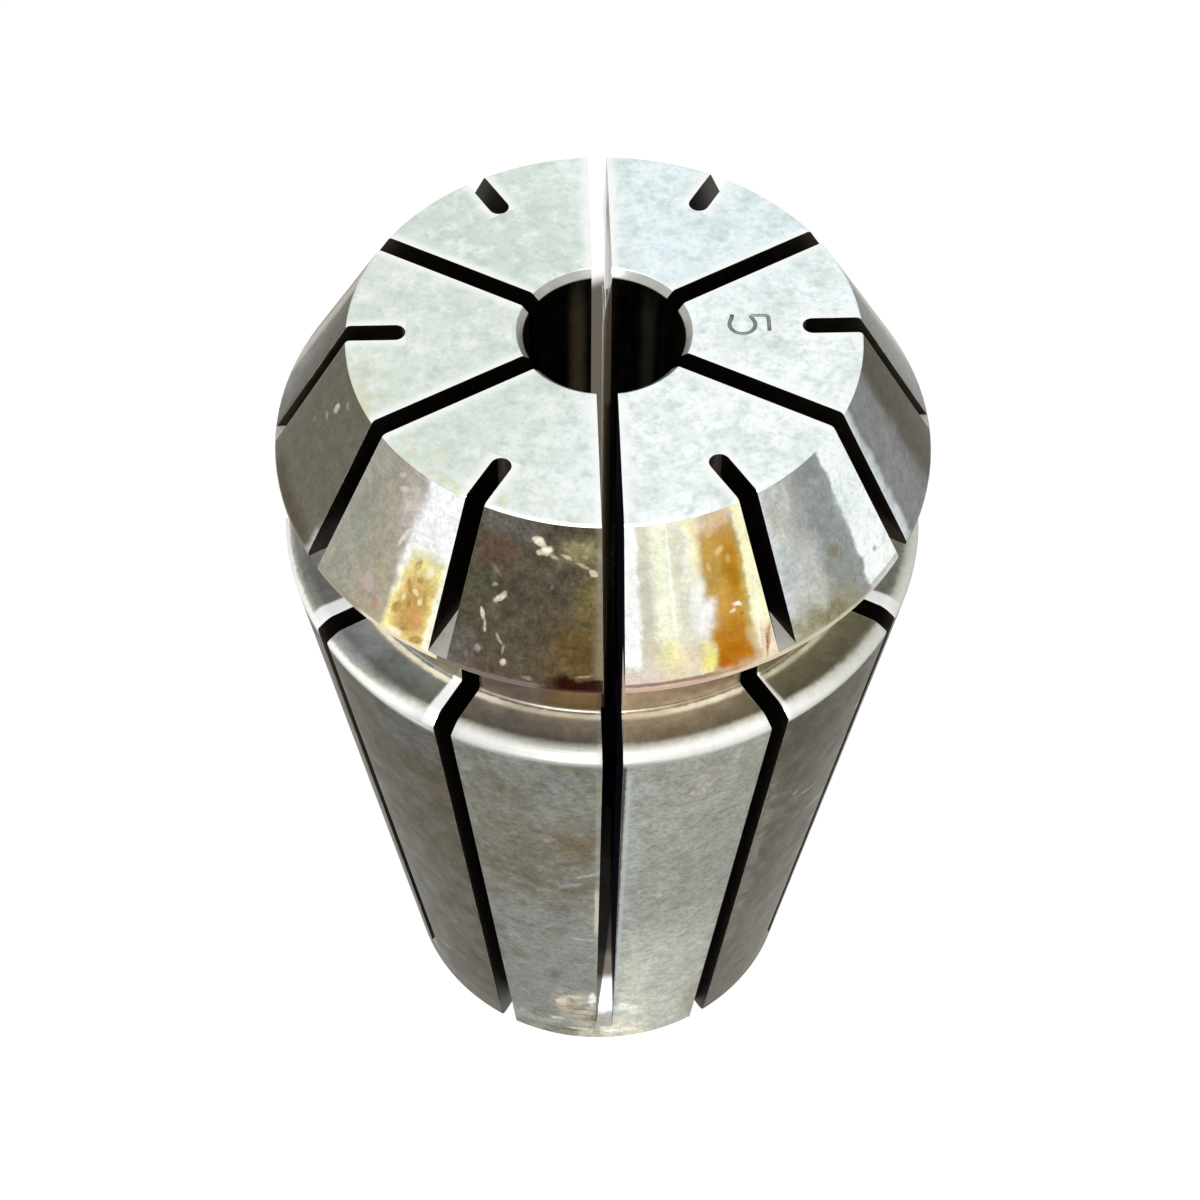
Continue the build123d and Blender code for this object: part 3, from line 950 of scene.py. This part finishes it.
def taper_front():
    """Ground taper in front: the left jaw grey with a brown stain, the right one paler."""
    finish = Finish("taper_front", (132, 135, 128))
    areas = [
        ((140, 143, 137), (-30, 0), (18, 40), (2, 3), 0.9),
        ((124, 117, 101), (-28, -2), (12.0, 19.0), (10, 3.5), 0.65),
        ((122, 106, 80), (-13, -3.0), (13.2, 15.2), (6, 1.6), 0.65),
        ((110, 100, 80), (-26, -13), (16.0, 18.6), (7, 1.8), 0.6),
        ((122, 116, 104), (-26, -15), (9.6, 12.0), (6, 1.2), 0.5),
        ((158, 159, 151),
        (0, 30), (8, 40), (1.2, 0.3), 1.0),
        ((166, 173, 171), (2, 5.6), (9, 31), (2, 1.5), 0.7),
        ((196, 198, 188), (4, 28), (21.5, 40), (6, 5.0), 0.9),
        ((206, 210, 198),
        (4, 11), (24, 31), (4, 3.0), 0.6),
        ((172, 166, 140), (24, 28.5), (27.5, 30.5), (3, 1.2), 0.7),
        ((212, 202, 180), (-14, -2.6), (27.0, 29.4), (5, 1.0), 0.75),
        ((206, 212, 198), (2.6, 9), (27.2, 29.6), (4, 1.2), 0.7),
        ((182, 180, 168), (-30, -13), (29.6, 31), (5, 0.6), 0.7),
        ((222, 217, 202), (-9, 14), (29.6, 32), (6, 0.8), 0.8),
        ((128, 120, 98), (-16, -7), (30.3, 31), (4, 0.3), 0.6),
    ]
    finish.patches((0.8, 2.2), areas)
    spots = [
        ((184, 182, 170), -4.4, 16.4, 0.5, 0.11, -30, 0.85),
        ((166, 172, 168), -8.2, 17.3, 0.5, 0.13, -26, 0.8),
        ((160, 160, 152), -13.0, 17.9, 0.35, 0.08, -22, 0.5),
        ((250, 250, 248), -3.5, 27.4, 0.15, 0.65, 0, 1.0),
        ((168, 138, 100), -8.6, 28.3, 0.35, 0.25, 0, 0.7),
        ((232, 220, 204), -12.0, 27.9, 0.22, 0.35, 0, 0.9),
        ((236, 228, 210), -8.5, 27.3, 0.5, 0.14, 0, 0.8),
        ((226, 214, 190), -6.6, 28.7, 0.35, 0.18, 0, 0.7),
        ((226, 218, 206), -13.4, 29.6, 0.3, 0.2, 0, 0.8),
        ((132, 120, 84), -4.2, 29.4, 0.4, 0.16, 0, 0.8),
        ((140, 130, 88), -10.6, 28.9, 0.3, 0.2, 0, 0.5),
        ((246, 250, 240), 5.2, 28.2, 0.3, 0.35, 0, 0.85),
        ((244, 248, 244), 7.2, 28.4, 0.28, 0.25, 0, 0.85),
        ((226, 236, 220), 8.8, 28.9, 0.22, 0.22, 0, 0.7),
        ((250, 244, 246), 5.0, 30.6, 0.6, 0.2, 0, 0.8),
        ((244, 240, 228), -5.5, 30.4, 0.7, 0.12, 0, 0.8),
        ((104, 96, 76), -13.0, 30.6, 0.7, 0.12, 0, 0.8),
        ((186, 183, 168), 16.6, 10.6, 0.32, 0.8, 10, 0.5),
        ((184, 184, 162), 9.6, 20.6, 0.28, 0.25, 0, 0.7),
        ((112, 118, 112), -22.5, 11.8, 0.3, 0.3, 0, 0.5),
        ((198, 202, 190), -4.0, 21.8, 0.5, 0.08, 5, 0.6),
    ]
    finish.spots(spots)
    # brown and bluish blotches, mostly on the left jaw
    left_jaw = finish.window((-32, -1), (8, 40), (2, 0.5), None)
    finish.lay((104, 98, 78), product(left_jaw, remap(finish.clouds(0.9), 0.50, 0.82)), 0.5)
    finish.lay((142, 152, 154), product(left_jaw, remap(finish.clouds(1.4), 0.52, 0.80)), 0.4)
    finish.mottle((0.7, 0.90, 1.10), (2.2, 0.82, 1.18), (6.0, 0.74, 1.26))
    # the lips of the front slot: pale on the left, dark and then pale on the right
    finish.patches((3.0, 0.10), [
        ((178, 172, 156), (-2.8, -1), (9, 24), (0.5, 1), 0.3),
        ((214, 206, 182), (-3.0, -1), (17.6, 21.2), (0.6, 1), 0.7),
        ((190, 196, 196), (2.5, 3.3), (9, 27), (0.6, 1), 0.6),
    ])
    finish.patches((3.0, 0.06), [((40, 40, 46), (1, 2.35), (8.4, 25.6), (0.4, 0.6), 0.85)])
    # painted highlight on the head, where the shoulder's painted edge highlight ends
    finish.lay((196, 200, 196), remap(finish.place["Depth"], 8.40, 8.62, 0.2, 0.0))
    return finish.done(finish.clouds(1.0, 0.28, 0.42), finish.turning(6.0), 0.002, edge_tint=0.6)


def taper_rest():
    """Ground taper round the sides and the back, darker, with stains and long scratches."""
    finish = Finish("taper_rest", (105, 100, 83))
    areas = [
        ((124, 124, 122), (-47, -32), (8.5, 11.0), (8, 1.2), 0.7),
        ((106, 99, 78), (-46, -31), (11.2, 13.6), (8, 1.2), 0.8),
        ((106, 98, 76), (-48, -31), (15.8, 18.4), (8, 1.2), 0.8),
        ((108, 107, 92), (-60, -36), (19, 26), (10, 2.5), 0.7),
        ((90, 86, 68), (-54, -38), (27.6, 29.6), (6, 0.8), 0.8),
        ((132, 126, 112), (-62, -31), (30, 32), (8, 0.5), 0.8),
        ((98, 93, 80), (32, 48), (8.6, 11.4), (6, 1.2), 0.8),
        ((144, 141, 130), (31, 35.4), (12, 25), (2, 3), 0.8),
        ((98, 92, 80), (36, 44), (16.4, 20.4), (5, 1.4), 0.7),
        ((122, 115, 97),
        (34, 62), (23, 32), (8, 2.0), 0.7),
        ((128, 126, 118), (90, 120), (8, 40), (2, 1), 0.8), ((140, 138, 128),
        (150, 181), (8, 40), (2, 1), 0.8),
        ((130, 128, 116), (-150, -120), (8, 40), (2, 1), 0.8), ((104, 98, 82),
        (122, 146), (13, 19), (8, 2), 0.8),
        ((106, 96, 78), (-116, -94), (20, 26), (8, 2), 0.8),
        ((96, 90, 74), (-176, -156), (11, 16), (8, 2), 0.8),
    ]
    finish.patches((0.9, 1.3), areas)
    spots = [
        ((58, 62, 46), -50.8, 15.0, 0.62, 0.26, -12, 1.0),
        ((166, 160, 142), -51, 28.0, 0.7, 0.14, -30, 0.8),
        ((186, 178, 158), 46, 15.6, 0.9, 0.09, 24, 0.8),
        ((196, 188, 168), 53, 17.8, 0.8, 0.10, 26, 0.9),
        ((186, 178, 158), 58, 19.8, 0.7, 0.11, 26, 0.9),
        ((204, 194, 172), 63, 22.4, 0.6, 0.12, 26, 0.9),
        ((176, 168, 148), 66, 18.4, 0.9, 0.09, 26, 0.8),
        ((170, 162, 142), 50, 22.0, 0.6, 0.08, 24, 0.7),
        ((200, 190, 166), 41, 14.8, 0.12, 0.12, 0, 0.9),
        ((190, 180, 156), 57, 12.4, 0.14, 0.14, 0, 0.8),
        ((150, 146, 134), -44, 21.5, 1.0, 0.09, -24, 0.5),
        ((86, 82, 62), 110, 24, 0.8, 0.5, 0, 0.7),
        ((162, 158, 142), 166, 22, 1.4, 0.12, 22, 0.7),
        ((162, 158, 142), -136, 18, 1.4, 0.12, -22, 0.7),
    ]
    finish.spots(spots)
    finish.lay((96, 90, 66), remap(finish.clouds(0.9), 0.50, 0.82), 0.5)
    finish.lay((118, 122, 118), remap(finish.clouds(1.4), 0.52, 0.80), 0.4)
    finish.mottle((0.7, 0.66, 0.98), (2.2, 0.78, 1.18), (6.0, 0.76, 1.22))
    # painted highlight: on the left the shoulder's painted edge highlight runs on over the head of the taper
    head = remap(finish.place["Depth"], 8.42, 8.80, 0.9, 0.0)
    finish.lay((242, 246, 240), product(head, finish.window((-80, -31), (8, 9), (8, 0.2), None)))
    return finish.done(finish.clouds(1.0, 0.28, 0.42), finish.turning(6.0), 0.002, edge_tint=0.6)


def bore():
    """Honed bore, painted dark inside as its shade, with two dim reflections painted down it, and dull on its
    entry chamfer.
    """
    finish = Finish("bore", (60, 57, 50))
    finish.shade(finish.streaks(2.0, 8.0, 0.3, 1.7))
    # painted reflections: a brownish and a grey band down the far side of the bore
    brown_reflection = finish.window((-168, -156), (0.7, 6.5), (9, 2.5), (0.8, 0.5))
    grey_reflection = finish.window((138, 149), (0.7, 6.5), (9, 2.5), (0.8, 0.5))
    finish.lay((112, 96, 76), brown_reflection, 0.7)
    finish.lay((104, 102, 92), grey_reflection, 0.5)
    entry = finish.window(ALL_ROUND, (-1, BORE_ENTRY / MM), (1, 0.06), None)
    finish.lay((156, 158, 151), entry)
    finish.mottle((2.2, 0.86, 1.14))
    reflection_matt = product(maths("MAXIMUM", brown_reflection, product(grey_reflection, 0.5)), 0.22)
    matt = maths("MAXIMUM", reflection_matt, product(entry, 0.85))
    return finish.done(finish.clouds(1.0, 0.22, 0.38), finish.turning(8.0), 0.002, matt=matt)


def back_face():
    """Turned back face, dull grey."""
    finish = Finish("back_face", (155.5, 156.5, 151.1))
    finish.mottle((1.5, 0.82, 1.15))
    finish.shade(finish.turning(5.0, 0.92, 1.08))
    return finish.done(finish.clouds(1.0, 0.32, 0.48), finish.turning(5.0), 0.004)


def sawn_wall():
    """Slot walls left by the saw, dark steel painted nearly black as shade in the slots, wiped smooth at the
    far slot, with painted shade below a line there.
    """
    finish = Finish("sawn_wall", (44, 38, 31))
    place = finish.place
    finish.mottle((1.2, 0.6, 1.3))
    finish.patches(None, [
        ((62, 58, 84), (0, 8), (-1, 40), (1, 0.2), 0.8),
        ((72, 64, 51), (-8, 0), (-1, 5), (1, 0.5), 0.7),
    ])
    finish.lay((88, 78, 62), finish.once("flecks", 3.0, 0.25, 0.12)["Mask"], 0.5)
    behind = remap(maths("ABSOLUTE", place["Azimuth"]), 167.0, 170.0)
    # painted shade: the far slot's wall is browner and rougher below a slanting line, which starts at the
    # mouth of the bore
    line = product(maths("SUBTRACT", place["Radius"], BORE_RADIUS / MM), 1.25)
    shaded_below_line = remap(maths("SUBTRACT", place["Depth"], line), 0.1, 0.7)
    finish.lay((110, 104, 94), behind)
    finish.lay((172, 160, 138), product(behind, shaded_below_line))
    wiped = product(behind, maths("SUBTRACT", 1.0, shaded_below_line))
    roughness = remap(wiped, 0.0, 1.0, 0.42, 0.05, soft=False)
    return finish.done(roughness, finish.clouds(6.0), 0.0008, edge_tint=0.85)


def sawn_floor():
    """Floors of the notches, pale and dull, and of the saw's run-outs, dark with one painted highlight."""
    finish = Finish("sawn_floor", (44, 38, 31))
    finish.patches(None, [
        ((166, 164, 156), ALL_ROUND, (4.3, 6), (1, 0.1), 1.0),
        ((116, 110, 96), ALL_ROUND, (27.9, 29.0), (1, 0.5), 0.7),
    ])
    # painted highlight: a white patch on the run-outs' curved floors
    finish.patches((1.5, 0.25), [((252, 252, 252), ALL_ROUND, (28.75, 29.7), (1, 0.4), 1.0)])
    finish.patches((1.5, 0.2), [((150, 145, 136), ALL_ROUND, (29.75, 40), (1, 0.3), 0.8)])
    finish.mottle((2.2, 0.84, 1.16))
    return finish.done(finish.clouds(2.0, 0.38, 0.52), finish.clouds(6.0), 0.006, matt=0.75)


def worn_lip():
    """The deburred edges of the slots, rubbed bright here and there."""
    finish = Finish("worn_lip", (150, 148, 138))
    finish.lay((236, 232, 218), remap(finish.clouds(1.3), 0.40, 0.80), 0.85)
    return finish.done(finish.clouds(2.0, 0.22, 0.36), finish.clouds(5.0), 0.003, edge_tint=0.7)


def digit():
    """The marked size digit, dark grey in the pale face."""
    finish = Finish("digit", (131.8, 134.4, 137))
    finish.mottle((5.0, 0.75, 1.3))
    return finish.done(finish.clouds(2.0, 0.45, 0.6), finish.clouds(9.0), 0.005)


# in the order of the mesh's material slots
MAKERS = [front_face, nose_left, nose_front_left, nose_front_right, nose_right, nose_rest, groove, shoulder,
          taper_front, taper_rest, bore, back_face, sawn_wall, sawn_floor, worn_lip, digit]
FINISHES = [maker.__name__ for maker in MAKERS]


# ---- camera, floor and light ------------------------------------------------------------
CAMERA_DISTANCE = 86.73 * MM
CAMERA_AZIMUTH = -2.27                # degrees
CAMERA_ELEVATION = 51.30
CAMERA_ROLL = 0.62
CAMERA_LENS = 74.63
AIM_HEIGHT = FACE_Z - 13.305 * MM
AIM_SIDE = -0.0446 * MM
ROOM_LIGHT = (0.14, 0.12, 0.098, 1)   # what the room gives as a source
ROOM_SEEN = (1, 1, 1, 1)              # what the camera and the metal see of it


def direction(azimuth, elevation):
    """From the collet's axis outwards, at this azimuth and elevation in degrees."""
    a, e = math.radians(azimuth), math.radians(elevation)
    return Vector((math.sin(a) * math.cos(e), -math.cos(a) * math.cos(e), math.sin(e)))


def aimed(sight):
    """The turn of a camera or lamp that looks this way."""
    return sight.to_track_quat("-Z", "Y").to_matrix().to_4x4()


def add_camera():
    """Looks down on the nose from the front."""
    centre = Vector((0, 0, AIM_HEIGHT))
    place = centre + direction(CAMERA_AZIMUTH, CAMERA_ELEVATION) * CAMERA_DISTANCE
    sight = centre + direction(CAMERA_AZIMUTH + 90, 0) * AIM_SIDE - place
    data = bpy.data.cameras.new("camera")
    data.lens = CAMERA_LENS
    data.sensor_width = 36
    data.clip_start = 0.001
    camera = linked("camera", data)
    camera.matrix_world = Matrix.Translation(place) @ aimed(sight) @ turned_by(CAMERA_ROLL)
    bpy.context.scene.camera = camera


def add_floor():
    bm = bmesh.new()
    bmesh.ops.create_grid(bm, x_segments=1, y_segments=1, size=1.5)
    floor = new_object("floor", bm)
    paint = bpy.data.materials.new("floor_white")
    paint.use_nodes = True
    shader = paint.node_tree.nodes["Principled BSDF"].inputs
    seen = node(paint.node_tree, "ShaderNodeLightPath").outputs["Is Camera Ray"]
    feed(shader["Base Color"], remap(seen, 0.0, 1.0, 0.95, 1.0, soft=False))
    feed(shader["Roughness"], 0.9)
    feed(shader["Specular IOR Level"], 0.1)
    floor.data.materials.append(paint)


def add_lamp(name, azimuth, elevation, distance, size, level):
    """A square lamp aimed at the collet. At level 1 it lights white paper to full white."""
    data = bpy.data.lights.new(name, "AREA")
    data.shape = "SQUARE"
    data.size = size
    data.energy = level * math.pi**2 * distance**2
    towards = direction(azimuth, elevation)
    place = Vector((0, 0, FACE_Z / 2)) + towards * distance
    linked(name, data).matrix_world = Matrix.Translation(place) @ aimed(-towards)


def add_light():
    """A white room, dim and warm as a source, and one small lamp far off in front."""
    world = bpy.data.worlds.new("studio")
    world.use_nodes = True
    tree = world.node_tree
    rays = node(tree, "ShaderNodeLightPath").outputs
    seen = rays["Is Camera Ray"]
    for kind in ("Is Glossy Ray", "Is Transmission Ray"):
        seen = maths("MAXIMUM", seen, rays[kind])
    room = node(tree, "ShaderNodeMix", {0: seen, 6: ROOM_LIGHT, 7: ROOM_SEEN}, data_type="RGBA")
    feed(tree.nodes["Background"].inputs["Color"], room.outputs[2])
    bpy.context.scene.world = world
    bpy.context.scene.view_settings.view_transform = "Standard"
    add_lamp("studio_lamp", azimuth=-9, elevation=48.8, distance=2.4, size=0.04, level=1.26)


# ---- build ------------------------------------------------------------------------------
collet = collet_mesh()
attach(collet, "root")
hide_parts("collet_body")

for index, maker in enumerate(MAKERS):
    collet.data.materials[index] = maker()

add_camera()
add_floor()
add_light()
